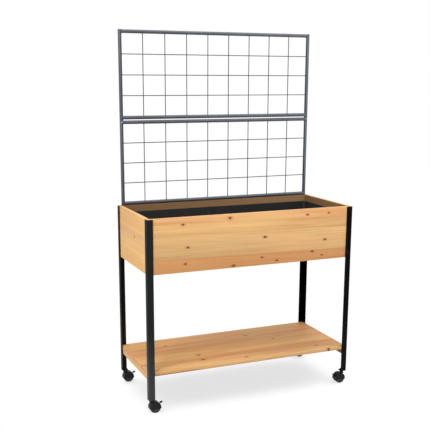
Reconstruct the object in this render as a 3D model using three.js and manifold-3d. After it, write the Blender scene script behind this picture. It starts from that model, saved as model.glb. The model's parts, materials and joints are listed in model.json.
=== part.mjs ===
// A rolling planter: a wooden box on four steel angle legs, with a shelf below,
// a two-panel trellis standing on the rear edge and four twin-wheel casters.
// Millimetres, +X to the planter's right, +Y to its back, +Z up. The origin is on
// the floor, at the centre of the footprint.

import * as THREE from 'three';
import { mergeVertices } from 'three/addons/utils/BufferGeometryUtils.js';
import Module from 'manifold-3d';

const wasm = await Module();
wasm.setup();

// ---------------------------------------------------------------- driving sizes

const CLEARANCE = 0.3; // between any two pieces that touch

// Steel frame and wooden box
const FRAME_LENGTH = 970; // outside of the legs, along X
const FRAME_WIDTH = 419; // outside of the legs, along Y
const LEG_FLANGE = 27;
const LEG_WALL = 2.5;
const LEG_REVEAL = 1.5; // the wood stands this much above the leg
const FOOT_PLATE_THICKNESS = 3;
const FOOT_PLATE_CORNER_CUT = 4;
const RIM_HEIGHT = 837.5; // top edge of the box above the floor
const PANEL_HEIGHT = 233;
const PANEL_THICKNESS = 18;

// Floor of the box and its liner
const FLOOR_CLEAT_RECESS = 3; // cleats sit this much above the panels' lower edges
const FLOOR_CLEAT_HEIGHT = 22;
const FLOOR_CLEAT_WIDTH = 30;
const FLOOR_BOARD_COUNT = 4;
const FLOOR_BOARD_THICKNESS = 12;
const FLOOR_BOARD_GAP = 5;
const LINER_WALL = 1.6;
const LINER_CORNER_RADIUS = 14;
const LINER_DROP = 30; // the liner's edge below the rim
const DRAIN_RADIUS = 6;
const DRAIN_COUNT = 5;
const DRAIN_PITCH = 180;

// Shelf
const SHELF_TOP = 178.5;
const SHELF_THICKNESS = 14;
const SHELF_CLEAT_WIDTH = 18;
const SHELF_CLEAT_HEIGHT = 23;
const SHELF_CLEAT_INSET = 1; // from the shelf's end

// Trellis
const POST_INSET = 21; // post axis from the box's end
const TUBE_RADIUS = 8;
const TUBE_WALL = 1.3;
const TUBE_SIDES = 24;
const LOWER_TRELLIS_HEIGHT = 375.5;
const UPPER_TRELLIS_HEIGHT = 383;
const TRELLIS_PANEL_GAP = 4.4;
const WIRE_DIAMETER = 4;
const WIRE_COLUMNS = 8;
const WIRE_ROWS = 3;
const ROW_PITCH = 88.7;
const WELD_OVERLAP = 0.4; // how far crossing wires sink into each other
const SPIGOT_LENGTH = 110;
const PEG_RADIUS_IN_WOOD = 4.2;
const PEG_DEPTH_IN_WOOD = 55;
const PEG_LENGTH_IN_POST = 60;
const SCREW_RADIUS = 1.9;
const SCREW_HEAD_RADIUS = 3.6;
const SCREW_HEAD_HEIGHT = 2.2;

// Casters
const CASTER_HEIGHT = 57; // floor to the underside of the leg
const CASTER_TRAIL = 14; // stem axis to wheel axis
const WHEEL_RADIUS = 23;
const WHEEL_WIDTH = 11.5;
const WHEEL_SEGMENTS = 28;
const TREAD_CHAMFER = 1.5;
const RIM_FACE_WIDTH = 3.5;
const FACE_RECESS = 2.5;
const HUB_RADIUS = 7.5;
const HUB_SETBACK = 0.8; // hub end below the rim's face
const AXLE_RADIUS = 3;
const AXLE_END_SETBACK = 1; // axle end below the hub's face
const RUNNING_GAP = 0.5; // beside the wheels
const HOOD_GAP = 0.8; // around the tread
const HOOD_WALL = 1.7;
const HOOD_DROP = 5; // hood's lower edge below the axle
const WEB_THICKNESS = 6; // between the two wheels
const WEB_HUB_RADIUS = 7;
const SOCKET_RADIUS = 8.5;
const HOOD_STUD_RADIUS = 2.6;
const HOOD_STUD_HEIGHT = 0.8;
const HOOD_STUD_X = 7; // from the axle
const HOOD_STUD_Z = 14;
const STEM_RADIUS = 4;
const STEM_SOCKET_DEPTH = 8;
const COLLAR_RADIUS = 8;
const COLLAR_HEIGHT = 3.4;
const THREAD_RADIUS = 4.7;
const THREAD_LENGTH_ABOVE_PLATE = 8;
const THREAD_CHAMFER = 1;

// Brake lever, seen along the axle: places are from the axle's centre
const LEVER_PIVOT_X = 16;
const LEVER_PIVOT_Z = 10;
const LEVER_HUB_RADIUS = 3.2;
const LEVER_BLADE = 2.4;
const LEVER_SLOT_CLEARANCE = 0.4; // each side of the blade
const LEVER_PIN_RADIUS = 1.4;
const LEVER_TAB_WIDTH = 13;
const LEVER_TAB_THICKNESS = 2.4;
const LEVER_TAB_LENGTH = 12.5;
const LEVER_TAB_RISE_DEG = 22;
const LEVER_TAB_START = 27.2; // inner end of the tab from the axle
const LEVER_TAB_START_DEG = 32;
const LEVER_SLOT_LOW_DEG = 12; // the hood's slot, as angles round the axle
const LEVER_SLOT_HIGH_DEG = 54;
const LEVER_SLOT_INNER_RADIUS = 13;

// ---------------------------------------------------------------- worked-out places

const halfLength = FRAME_LENGTH / 2;
const halfWidth = FRAME_WIDTH / 2;
const boxBottom = RIM_HEIGHT - PANEL_HEIGHT;
const woodHalfLength = halfLength - LEG_WALL - CLEARANCE;
const woodHalfWidth = halfWidth - LEG_WALL - CLEARANCE;
const insideHalfLength = woodHalfLength - PANEL_THICKNESS;
const insideHalfWidth = woodHalfWidth - PANEL_THICKNESS;

const floorCleatBottom = boxBottom + FLOOR_CLEAT_RECESS;
const floorBoardBottom = floorCleatBottom + FLOOR_CLEAT_HEIGHT + CLEARANCE;
const linerBottom = floorBoardBottom + FLOOR_BOARD_THICKNESS + CLEARANCE;
const linerTop = RIM_HEIGHT - LINER_DROP;

const shelfBottom = SHELF_TOP - SHELF_THICKNESS;

const trellisY = woodHalfWidth - PANEL_THICKNESS / 2;
const postX = woodHalfLength - POST_INSET;
const wireHalfLength = postX - TUBE_RADIUS - CLEARANCE;
const columnPitch = (2 * postX) / (WIRE_COLUMNS + 1);
const lowerTrellisBottom = RIM_HEIGHT + CLEARANCE;
const lowerTrellisTop = lowerTrellisBottom + LOWER_TRELLIS_HEIGHT;
const upperTrellisBottom = lowerTrellisTop + TRELLIS_PANEL_GAP;
const upperTrellisTop = upperTrellisBottom + UPPER_TRELLIS_HEIGHT;
const postMeetingHeight = (lowerTrellisTop + upperTrellisBottom) / 2;
const tubeBoreRadius = TUBE_RADIUS - TUBE_WALL;
const spigotRadius = tubeBoreRadius - CLEARANCE;
const screwHeight = lowerTrellisTop - TUBE_RADIUS;

const stemInset = (LEG_WALL + LEG_FLANGE) / 2;
const stemX = halfLength - stemInset;
const stemY = halfWidth - stemInset;
const axleHeight = WHEEL_RADIUS;
const hoodInnerRadius = WHEEL_RADIUS / Math.cos(Math.PI / WHEEL_SEGMENTS) + HOOD_GAP;
const hoodOuterRadius = hoodInnerRadius + HOOD_WALL;
const wheelInnerFace = WEB_THICKNESS / 2 + RUNNING_GAP;
const wheelOuterFace = wheelInnerFace + WHEEL_WIDTH;
const cheekInnerFace = wheelOuterFace + RUNNING_GAP;
const cheekOuterFace = cheekInnerFace + HOOD_WALL;
const socketTop = CASTER_HEIGHT - COLLAR_HEIGHT - 2 * CLEARANCE;

const CORNERS = [
  { name: 'front_left', x: -1, y: -1 },
  { name: 'front_right', x: 1, y: -1 },
  { name: 'rear_left', x: -1, y: 1 },
  { name: 'rear_right', x: 1, y: 1 },
];
const SIDES = [
  { name: 'left', x: -1 },
  { name: 'right', x: 1 },
];

// ---------------------------------------------------------------- finishes

const FINISHES = {
  cedar: { color: 0xe0b27a, roughness: 0.65, metalness: 0 },
  cedarInside: { color: 0xc99a63, roughness: 0.75, metalness: 0 },
  blackSteel: { color: 0x2a2c2e, roughness: 0.45, metalness: 0.3 },
  greySteel: { color: 0x4a5560, roughness: 0.45, metalness: 0.3 },
  zincSteel: { color: 0x9a9c9e, roughness: 0.35, metalness: 0.9 },
  linerPlastic: { color: 0x1c1d1c, roughness: 0.7, metalness: 0 },
  hoodPlastic: { color: 0x1b1b20, roughness: 0.5, metalness: 0 },
  wheelPlastic: { color: 0x23232b, roughness: 0.55, metalness: 0 },
};

const model = new THREE.Group();

function addPiece(name, geometry, finish, parent = model) {
  const mesh = new THREE.Mesh(geometry, new THREE.MeshStandardMaterial(FINISHES[finish]));
  mesh.name = name;
  parent.add(mesh);
  return mesh;
}

// ---------------------------------------------------------------- solids

function toSolid(geometry) {
  const bare = geometry.clone();
  bare.deleteAttribute('normal');
  bare.deleteAttribute('uv');
  const merged = mergeVertices(bare, 1e-4);
  return new wasm.Manifold(
    new wasm.Mesh({
      numProp: 3,
      vertProperties: new Float32Array(merged.attributes.position.array),
      triVerts: new Uint32Array(merged.index.array),
    }),
  );
}

function toGeometry(solid) {
  const mesh = solid.getMesh();
  const geometry = new THREE.BufferGeometry();
  geometry.setAttribute('position', new THREE.BufferAttribute(mesh.vertProperties, 3));
  geometry.setIndex(new THREE.BufferAttribute(mesh.triVerts, 1));
  geometry.computeVertexNormals();
  return geometry;
}

// A box between two values on each axis.
function block([x0, x1], [y0, y1], [z0, z1]) {
  const geometry = new THREE.BoxGeometry(x1 - x0, y1 - y0, z1 - z0);
  return geometry.translate((x0 + x1) / 2, (y0 + y1) / 2, (z0 + z1) / 2);
}

// A range that is centred on a value.
function around(centre, size) {
  return [centre - size / 2, centre + size / 2];
}

// A round bar standing on (x, y) between two heights.
function uprightBar(radius, x, y, [z0, z1], sides = 16) {
  const geometry = new THREE.CylinderGeometry(radius, radius, z1 - z0, sides);
  return geometry.rotateX(Math.PI / 2).translate(x, y, (z0 + z1) / 2);
}

// A round bar along Y through (x, z).
function crossBar(radius, x, z, [y0, y1], sides = 16) {
  const geometry = new THREE.CylinderGeometry(radius, radius, y1 - y0, sides);
  return geometry.translate(x, (y0 + y1) / 2, z);
}

// A round bar along X through (y, z).
function lengthBar(radius, y, z, [x0, x1], sides = 16) {
  const geometry = new THREE.CylinderGeometry(radius, radius, x1 - x0, sides);
  return geometry.rotateZ(Math.PI / 2).translate((x0 + x1) / 2, y, z);
}

// An outline in the XZ plane, made solid between two values of Y.
function alongY(shape, [y0, y1], curveSegments = 12) {
  const settings = { depth: y1 - y0, bevelEnabled: false, curveSegments };
  return new THREE.ExtrudeGeometry(shape, settings).rotateX(Math.PI / 2).translate(0, y1, 0);
}

// An outline in the XY plane, made solid between two heights.
function upright(shape, [z0, z1], curveSegments = 12) {
  const settings = { depth: z1 - z0, bevelEnabled: false, curveSegments };
  return new THREE.ExtrudeGeometry(shape, settings).translate(0, 0, z0);
}

function polygon(points) {
  return new THREE.Shape(points.map(([x, y]) => new THREE.Vector2(x, y)));
}

function polar(radius, degrees) {
  const angle = THREE.MathUtils.degToRad(degrees);
  return [radius * Math.cos(angle), radius * Math.sin(angle)];
}

// ---------------------------------------------------------------- legs

function leg(corner) {
  // Outline points are measured inwards from the leg's outer corner.
  const outline = (points) =>
    polygon(points.map(([u, v]) => [corner.x * (halfLength - u), corner.y * (halfWidth - v)]));
  const angle = outline([
    [0, 0],
    [LEG_FLANGE, 0],
    [LEG_FLANGE, LEG_WALL],
    [LEG_WALL, LEG_WALL],
    [LEG_WALL, LEG_FLANGE],
    [0, LEG_FLANGE],
  ]);
  const plate = outline([
    [0, 0],
    [LEG_FLANGE, 0],
    [LEG_FLANGE, LEG_FLANGE - FOOT_PLATE_CORNER_CUT],
    [LEG_FLANGE - FOOT_PLATE_CORNER_CUT, LEG_FLANGE],
    [0, LEG_FLANGE],
  ]);
  const plateTop = CASTER_HEIGHT + FOOT_PLATE_THICKNESS;
  const holeSpan = [CASTER_HEIGHT - 1, plateTop + 1];
  const hole = uprightBar(THREAD_RADIUS + CLEARANCE, corner.x * stemX, corner.y * stemY, holeSpan);
  const solid = toSolid(upright(angle, [CASTER_HEIGHT, RIM_HEIGHT - LEG_REVEAL]))
    .add(toSolid(upright(plate, [CASTER_HEIGHT, plateTop])))
    .subtract(toSolid(hole));
  addPiece(`leg_${corner.name}`, toGeometry(solid), 'blackSteel');
}

// ---------------------------------------------------------------- box

function boxPanels() {
  const height = [boxBottom, RIM_HEIGHT];
  const full = [-woodHalfLength, woodHalfLength];
  addPiece('front_panel', block(full, [-woodHalfWidth, -insideHalfWidth], height), 'cedar');

  let rear = toSolid(block(full, [insideHalfWidth, woodHalfWidth], height));
  for (const side of SIDES) {
    const span = [RIM_HEIGHT - PEG_DEPTH_IN_WOOD - CLEARANCE, RIM_HEIGHT + 1];
    const hole = uprightBar(PEG_RADIUS_IN_WOOD + CLEARANCE, side.x * postX, trellisY, span);
    rear = rear.subtract(toSolid(hole));
  }
  addPiece('rear_panel', toGeometry(rear), 'cedar');

  const between = [-insideHalfWidth + CLEARANCE, insideHalfWidth - CLEARANCE];
  addPiece('left_panel', block([-woodHalfLength, -insideHalfLength], between, height), 'cedar');
  addPiece('right_panel', block([insideHalfLength, woodHalfLength], between, height), 'cedar');
}

function boxFloor() {
  const reach = insideHalfLength - CLEARANCE;
  const span = [-insideHalfWidth + CLEARANCE, insideHalfWidth - CLEARANCE];
  const height = [floorCleatBottom, floorCleatBottom + FLOOR_CLEAT_HEIGHT];
  const cleats = [
    ['left', -reach + FLOOR_CLEAT_WIDTH / 2],
    ['middle', 0],
    ['right', reach - FLOOR_CLEAT_WIDTH / 2],
  ];
  for (const [name, x] of cleats) {
    const geometry = block(around(x, FLOOR_CLEAT_WIDTH), span, height);
    addPiece(`floor_cleat_${name}`, geometry, 'cedarInside');
  }

  const gaps = (FLOOR_BOARD_COUNT - 1) * FLOOR_BOARD_GAP;
  const boardWidth = (span[1] - span[0] - gaps) / FLOOR_BOARD_COUNT;
  const boardHeight = [floorBoardBottom, floorBoardBottom + FLOOR_BOARD_THICKNESS];
  for (let i = 0; i < FLOOR_BOARD_COUNT; i += 1) {
    const y = span[0] + i * (boardWidth + FLOOR_BOARD_GAP);
    const geometry = block([-reach, reach], [y, y + boardWidth], boardHeight);
    addPiece(`floor_board_${i + 1}`, geometry, 'cedarInside');
  }
}

function roundedRectangle(halfX, halfY, radius) {
  const shape = new THREE.Shape();
  shape.absarc(halfX - radius, halfY - radius, radius, 0, Math.PI / 2);
  shape.absarc(-halfX + radius, halfY - radius, radius, Math.PI / 2, Math.PI);
  shape.absarc(-halfX + radius, -halfY + radius, radius, Math.PI, 1.5 * Math.PI);
  shape.absarc(halfX - radius, -halfY + radius, radius, 1.5 * Math.PI, 2 * Math.PI);
  shape.closePath();
  return shape;
}

function liner() {
  const halfX = insideHalfLength - CLEARANCE;
  const halfY = insideHalfWidth - CLEARANCE;
  const cornerSegments = 4;
  const outer = roundedRectangle(halfX, halfY, LINER_CORNER_RADIUS);
  const inner = roundedRectangle(
    halfX - LINER_WALL,
    halfY - LINER_WALL,
    LINER_CORNER_RADIUS - LINER_WALL,
  );
  let solid = toSolid(upright(outer, [linerBottom, linerTop], cornerSegments)).subtract(
    toSolid(upright(inner, [linerBottom + LINER_WALL, linerTop + 1], cornerSegments)),
  );
  for (let i = 0; i < DRAIN_COUNT; i += 1) {
    const x = (i - (DRAIN_COUNT - 1) / 2) * DRAIN_PITCH;
    const span = [linerBottom - 1, linerBottom + LINER_WALL + 1];
    solid = solid.subtract(toSolid(uprightBar(DRAIN_RADIUS, x, 0, span, 12)));
  }
  addPiece('planter_liner', toGeometry(solid), 'linerPlastic');
}

// ---------------------------------------------------------------- shelf

function shelf() {
  const length = [-woodHalfLength, woodHalfLength];
  const width = [-woodHalfWidth, woodHalfWidth];
  addPiece('shelf_board', block(length, width, [shelfBottom, SHELF_TOP]), 'cedar');

  const cleatTop = shelfBottom - CLEARANCE;
  for (const side of SIDES) {
    const x = side.x * (woodHalfLength - SHELF_CLEAT_INSET - SHELF_CLEAT_WIDTH / 2);
    const height = [cleatTop - SHELF_CLEAT_HEIGHT, cleatTop];
    const geometry = block(around(x, SHELF_CLEAT_WIDTH), width, height);
    addPiece(`shelf_cleat_${side.name}`, geometry, 'cedar');
  }
}

// ---------------------------------------------------------------- trellis

function post(name, x, [z0, z1], { closedTop, screwHole }) {
  const boreTop = closedTop ? z1 - TUBE_WALL : z1 + 1;
  const outside = uprightBar(TUBE_RADIUS, x, trellisY, [z0, z1], TUBE_SIDES);
  const bore = uprightBar(tubeBoreRadius, x, trellisY, [z0 - 1, boreTop], TUBE_SIDES);
  let solid = toSolid(outside).subtract(toSolid(bore));
  if (screwHole) {
    const span = [trellisY - 2 * TUBE_RADIUS, trellisY];
    solid = solid.subtract(toSolid(crossBar(SCREW_RADIUS + CLEARANCE, x, screwHeight, span, 12)));
  }
  addPiece(name, toGeometry(solid), 'greySteel');
}

// A tube between the posts, its ends cut to the posts' roundness.
function rail(name, z) {
  const length = [-postX, postX];
  const outside = toSolid(lengthBar(TUBE_RADIUS, trellisY, z, length, TUBE_SIDES));
  const boreLength = [-postX - 1, postX + 1];
  const bore = toSolid(lengthBar(tubeBoreRadius, trellisY, z, boreLength, TUBE_SIDES));
  let solid = outside.subtract(bore);
  for (const side of SIDES) {
    const height = around(z, 4 * TUBE_RADIUS);
    const radius = TUBE_RADIUS + CLEARANCE;
    const cut = uprightBar(radius, side.x * postX, trellisY, height, TUBE_SIDES);
    solid = solid.subtract(toSolid(cut));
  }
  addPiece(name, toGeometry(solid), 'greySteel');
}

function wireGrid(name, [z0, z1]) {
  const radius = WIRE_DIAMETER / 2;
  const offset = radius - WELD_OVERLAP / 2; // the rows lie behind the columns
  const sides = 8;
  const middle = (z0 + z1) / 2;
  const wires = [];
  for (let i = 0; i < WIRE_COLUMNS; i += 1) {
    const x = (i - (WIRE_COLUMNS - 1) / 2) * columnPitch;
    wires.push(uprightBar(radius, x, trellisY - offset, [z0, z1], sides));
  }
  for (let i = 0; i < WIRE_ROWS; i += 1) {
    const z = middle + (i - (WIRE_ROWS - 1) / 2) * ROW_PITCH;
    const span = [-wireHalfLength, wireHalfLength];
    wires.push(lengthBar(radius, trellisY + offset, z, span, sides));
  }
  const solid = wires.map(toSolid).reduce((joined, wire) => joined.add(wire));
  addPiece(name, toGeometry(solid), 'greySteel');
}

function trellisPanel(name, [bottom, top], [postBottom, postTop], postEnds) {
  for (const side of SIDES) {
    post(`${name}_post_${side.name}`, side.x * postX, [postBottom, postTop], postEnds);
  }
  rail(`${name}_top_rail`, top - TUBE_RADIUS);
  rail(`${name}_bottom_rail`, bottom + TUBE_RADIUS);
  const wireEnd = 2 * TUBE_RADIUS + CLEARANCE;
  wireGrid(`${name}_grid`, [bottom + wireEnd, top - wireEnd]);
}

// A thick upper part for the post's bore and a thinner lower one for the wood.
function peg(x) {
  const foot = RIM_HEIGHT - PEG_DEPTH_IN_WOOD;
  const top = lowerTrellisBottom + PEG_LENGTH_IN_POST;
  const profile = [
    [0, foot],
    [PEG_RADIUS_IN_WOOD, foot],
    [PEG_RADIUS_IN_WOOD, lowerTrellisBottom],
    [spigotRadius, lowerTrellisBottom],
    [spigotRadius, top],
    [0, top],
  ];
  const points = profile.map(([r, z]) => new THREE.Vector2(r, z));
  const geometry = new THREE.LatheGeometry(points, TUBE_SIDES);
  return geometry.rotateX(Math.PI / 2).translate(x, trellisY, 0);
}

function trellisJoints() {
  for (const side of SIDES) {
    const x = side.x * postX;
    const spigotSpan = around(postMeetingHeight, SPIGOT_LENGTH);
    const spigot = uprightBar(spigotRadius, x, trellisY, spigotSpan, TUBE_SIDES);
    const holeSpan = around(trellisY, 4 * TUBE_RADIUS);
    const hole = crossBar(SCREW_RADIUS + CLEARANCE, x, screwHeight, holeSpan, 12);
    const drilled = toSolid(spigot).subtract(toSolid(hole));
    addPiece(`trellis_spigot_${side.name}`, toGeometry(drilled), 'greySteel');

    const faceY = trellisY - TUBE_RADIUS - CLEARANCE;
    const shank = crossBar(SCREW_RADIUS, x, screwHeight, [faceY - 1, trellisY], 12);
    const headSpan = [faceY - SCREW_HEAD_HEIGHT, faceY];
    const head = crossBar(SCREW_HEAD_RADIUS, x, screwHeight, headSpan, 12);
    const screw = toSolid(shank).add(toSolid(head));
    addPiece(`trellis_screw_${side.name}`, toGeometry(screw), 'zincSteel');

    addPiece(`trellis_peg_${side.name}`, peg(x), 'blackSteel');
  }
}

// ---------------------------------------------------------------- casters
// Each caster is made with its stem on the local Z axis and its wheels trailing
// towards local +X.

function hood() {
  // The cover seen along the axle: an arch cut off below the axle.
  const coverAngle = Math.asin(HOOD_DROP / hoodOuterRadius);
  const cover = new THREE.Shape();
  cover.absarc(CASTER_TRAIL, axleHeight, hoodOuterRadius, -coverAngle, Math.PI + coverAngle);
  cover.closePath();
  const web = new THREE.Shape();
  web.absarc(CASTER_TRAIL, axleHeight, hoodInnerRadius + HOOD_WALL / 2, 0, Math.PI);
  web.closePath();

  const socketBottom = axleHeight + WEB_HUB_RADIUS;
  const webRange = around(0, WEB_THICKNESS);
  const cavity = around(0, 2 * cheekInnerFace);
  const arch = toSolid(alongY(cover, around(0, 2 * cheekOuterFace), 18));
  const hollow = toSolid(
    crossBar(hoodInnerRadius, CASTER_TRAIL, axleHeight, cavity, WHEEL_SEGMENTS),
  );
  const divider = toSolid(alongY(web, webRange, 14)).add(
    toSolid(crossBar(WEB_HUB_RADIUS, CASTER_TRAIL, axleHeight, webRange)),
  );
  const socket = toSolid(uprightBar(SOCKET_RADIUS, 0, 0, [socketBottom, socketTop]));
  const studSpan = around(0, 2 * (cheekOuterFace + HOOD_STUD_HEIGHT));
  const stud = toSolid(
    crossBar(
      HOOD_STUD_RADIUS,
      CASTER_TRAIL + HOOD_STUD_X,
      axleHeight + HOOD_STUD_Z,
      studSpan,
      12,
    ),
  );

  const stemSpan = [socketTop - STEM_SOCKET_DEPTH - CLEARANCE, socketTop + 1];
  const stemBore = toSolid(uprightBar(STEM_RADIUS + CLEARANCE, 0, 0, stemSpan));
  const axleBore = toSolid(
    crossBar(AXLE_RADIUS + CLEARANCE, CASTER_TRAIL, axleHeight, webRange.map((y) => 2 * y)),
  );
  return arch
    .add(socket)
    .add(stud)
    .subtract(hollow)
    .add(divider)
    .subtract(stemBore)
    .subtract(axleBore)
    .subtract(leverSlot());
}

// The slot that the lever's blade and its pin turn in.
function leverSlot() {
  const reach = hoodOuterRadius + 5;
  const width = LEVER_BLADE + 2 * LEVER_SLOT_CLEARANCE;
  const steps = 6;
  const fan = [];
  for (let i = 0; i <= steps; i += 1) {
    const share = i / steps;
    const degrees = LEVER_SLOT_LOW_DEG + share * (LEVER_SLOT_HIGH_DEG - LEVER_SLOT_LOW_DEG);
    fan.push(polar(reach, degrees));
  }
  const inner = [LEVER_SLOT_HIGH_DEG, LEVER_SLOT_LOW_DEG].map((degrees) =>
    polar(LEVER_SLOT_INNER_RADIUS, degrees),
  );
  const outline = [...fan, ...inner].map(([x, z]) => [CASTER_TRAIL + x, axleHeight + z]);
  const slot = toSolid(alongY(polygon(outline), around(0, width)));
  const pinHole = crossBar(
    LEVER_PIN_RADIUS + CLEARANCE,
    CASTER_TRAIL + LEVER_PIVOT_X,
    axleHeight + LEVER_PIVOT_Z,
    around(0, 2 * wheelInnerFace),
    12,
  );
  return slot.add(toSolid(pinHole));
}

function lever() {
  const pivot = [CASTER_TRAIL + LEVER_PIVOT_X, axleHeight + LEVER_PIVOT_Z];
  const [startX, startZ] = polar(LEVER_TAB_START, LEVER_TAB_START_DEG);
  const start = [CASTER_TRAIL + startX, axleHeight + startZ];
  const [runX, runZ] = polar(LEVER_TAB_LENGTH, LEVER_TAB_RISE_DEG);
  const [upX, upZ] = polar(LEVER_TAB_THICKNESS, LEVER_TAB_RISE_DEG + 90);
  const end = [start[0] + runX, start[1] + runZ];
  const tab = [start, end, [end[0] + upX, end[1] + upZ], [start[0] + upX, start[1] + upZ]];

  // The blade joins the hub to the first third of the tab.
  const third = [start[0] + runX / 3, start[1] + runZ / 3];
  const blade = [
    [pivot[0] + LEVER_HUB_RADIUS * 0.7, pivot[1] - LEVER_HUB_RADIUS * 0.7],
    third,
    [third[0] + upX / 2, third[1] + upZ / 2],
    [start[0] + upX / 2, start[1] + upZ / 2],
    [pivot[0] - LEVER_HUB_RADIUS * 0.7, pivot[1] + LEVER_HUB_RADIUS * 0.7],
  ];
  const bladeRange = around(0, LEVER_BLADE);
  const pinRange = around(0, WEB_THICKNESS - 2 * CLEARANCE);
  return toSolid(alongY(polygon(tab), around(0, LEVER_TAB_WIDTH)))
    .add(toSolid(alongY(polygon(blade), bladeRange)))
    .add(toSolid(crossBar(LEVER_HUB_RADIUS, ...pivot, bladeRange)))
    .add(toSolid(crossBar(LEVER_PIN_RADIUS, ...pivot, pinRange, 12)));
}

function stem() {
  const shankBottom = socketTop - STEM_SOCKET_DEPTH;
  const collarBottom = socketTop + CLEARANCE;
  const collarTop = CASTER_HEIGHT - CLEARANCE;
  const top = CASTER_HEIGHT + FOOT_PLATE_THICKNESS + THREAD_LENGTH_ABOVE_PLATE;
  const profile = [
    [0, shankBottom],
    [STEM_RADIUS, shankBottom],
    [STEM_RADIUS, collarBottom],
    [COLLAR_RADIUS, collarBottom],
    [COLLAR_RADIUS, collarTop],
    [THREAD_RADIUS, collarTop],
    [THREAD_RADIUS, top - THREAD_CHAMFER],
    [THREAD_RADIUS - THREAD_CHAMFER, top],
    [0, top],
  ];
  const points = profile.map(([r, z]) => new THREE.Vector2(r, z));
  return new THREE.LatheGeometry(points, 20).rotateX(Math.PI / 2);
}

// A wheel on the +Y side of the web, with a flat facet on the floor.
function wheel() {
  const bore = AXLE_RADIUS + CLEARANCE;
  const facet = 1 / Math.cos(Math.PI / WHEEL_SEGMENTS);
  const tread = WHEEL_RADIUS * facet;
  const rimInside = tread - TREAD_CHAMFER - RIM_FACE_WIDTH;
  const hubFace = wheelOuterFace - HUB_SETBACK;
  const dish = wheelOuterFace - FACE_RECESS;
  const profile = [
    [bore, wheelInnerFace],
    [tread - TREAD_CHAMFER, wheelInnerFace],
    [tread, wheelInnerFace + TREAD_CHAMFER],
    [tread, wheelOuterFace - TREAD_CHAMFER],
    [tread - TREAD_CHAMFER, wheelOuterFace],
    [rimInside, wheelOuterFace],
    [rimInside - 1, dish],
    [HUB_RADIUS + 1, dish],
    [HUB_RADIUS, hubFace],
    [bore, hubFace],
    [bore, wheelInnerFace],
  ];
  const points = profile.map(([r, y]) => new THREE.Vector2(r, y));
  const geometry = new THREE.LatheGeometry(points, WHEEL_SEGMENTS);
  geometry.rotateY(Math.PI / WHEEL_SEGMENTS);
  return geometry.translate(CASTER_TRAIL, 0, axleHeight);
}

function axle() {
  const reach = wheelOuterFace - HUB_SETBACK - AXLE_END_SETBACK;
  return crossBar(AXLE_RADIUS, CASTER_TRAIL, axleHeight, around(0, 2 * reach));
}

const hoodGeometry = toGeometry(hood());
const leverGeometry = toGeometry(lever());

function caster(corner) {
  const group = new THREE.Group();
  group.position.set(corner.x * stemX, corner.y * stemY, 0);
  // The wheels trail towards the planter's middle.
  group.rotation.z = corner.x < 0 ? 0 : Math.PI;
  model.add(group);

  addPiece(`caster_stem_${corner.name}`, stem(), 'zincSteel', group);
  addPiece(`caster_hood_${corner.name}`, hoodGeometry, 'hoodPlastic', group);
  addPiece(`caster_axle_${corner.name}`, axle(), 'zincSteel', group);
  addPiece(`brake_lever_${corner.name}`, leverGeometry, 'hoodPlastic', group);

  // The outer wheel is the one nearer the planter's front or back.
  const outerIsLocalPlus = corner.x * corner.y < 0;
  for (const [name, localPlus] of [
    ['outer', outerIsLocalPlus],
    ['inner', !outerIsLocalPlus],
  ]) {
    const mesh = addPiece(`${name}_wheel_${corner.name}`, wheel(), 'wheelPlastic', group);
    if (!localPlus) {
      // The same wheel turned end for end about the axle's middle.
      mesh.position.set(2 * CASTER_TRAIL, 0, 0);
      mesh.rotation.z = Math.PI;
    }
  }
}

// ---------------------------------------------------------------- assembly

CORNERS.forEach(leg);
boxPanels();
boxFloor();
liner();
shelf();
trellisPanel(
  'lower_trellis',
  [lowerTrellisBottom, lowerTrellisTop],
  [lowerTrellisBottom, postMeetingHeight - CLEARANCE / 2],
  { closedTop: false, screwHole: true },
);
trellisPanel(
  'upper_trellis',
  [upperTrellisBottom, upperTrellisTop],
  [postMeetingHeight + CLEARANCE / 2, upperTrellisTop],
  { closedTop: true, screwHole: false },
);
trellisJoints();
CORNERS.forEach(caster);

export default model;
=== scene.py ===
"""Looks of a rolling planter with a two-panel trellis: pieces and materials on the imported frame.

Metres, in the frame's own axes: +X to the planter's right, +Y to its back, +Z up, the floor at zero.
"""

import json
import math

import bmesh
import bpy
from mathutils import Matrix, Vector


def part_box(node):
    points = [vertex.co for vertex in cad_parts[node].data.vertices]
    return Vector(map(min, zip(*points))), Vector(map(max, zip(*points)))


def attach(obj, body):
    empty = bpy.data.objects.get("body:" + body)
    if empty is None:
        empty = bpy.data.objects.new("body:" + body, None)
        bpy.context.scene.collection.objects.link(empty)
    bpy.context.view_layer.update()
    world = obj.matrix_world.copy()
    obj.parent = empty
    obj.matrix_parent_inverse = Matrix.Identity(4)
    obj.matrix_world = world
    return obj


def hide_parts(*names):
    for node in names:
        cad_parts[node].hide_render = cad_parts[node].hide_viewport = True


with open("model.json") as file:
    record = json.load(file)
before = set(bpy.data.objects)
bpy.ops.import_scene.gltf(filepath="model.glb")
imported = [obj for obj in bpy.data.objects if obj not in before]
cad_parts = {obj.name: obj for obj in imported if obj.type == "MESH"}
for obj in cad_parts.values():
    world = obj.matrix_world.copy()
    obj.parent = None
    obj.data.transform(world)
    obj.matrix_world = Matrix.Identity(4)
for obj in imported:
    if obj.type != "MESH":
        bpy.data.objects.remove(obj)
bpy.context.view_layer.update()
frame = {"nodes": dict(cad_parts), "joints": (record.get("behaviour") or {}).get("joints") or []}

MM = 0.001
X, Y, Z = range(3)
CORNERS = ("front_left", "front_right", "rear_left", "rear_right")
SIDES = ("left", "right")
JOINTS = {joint["name"]: joint for joint in frame["joints"]}


def middle(node):
    """The middle of a CAD node's box."""
    low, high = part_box(node)
    return (low + high) / 2


# ---- camera, light and floor

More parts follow.
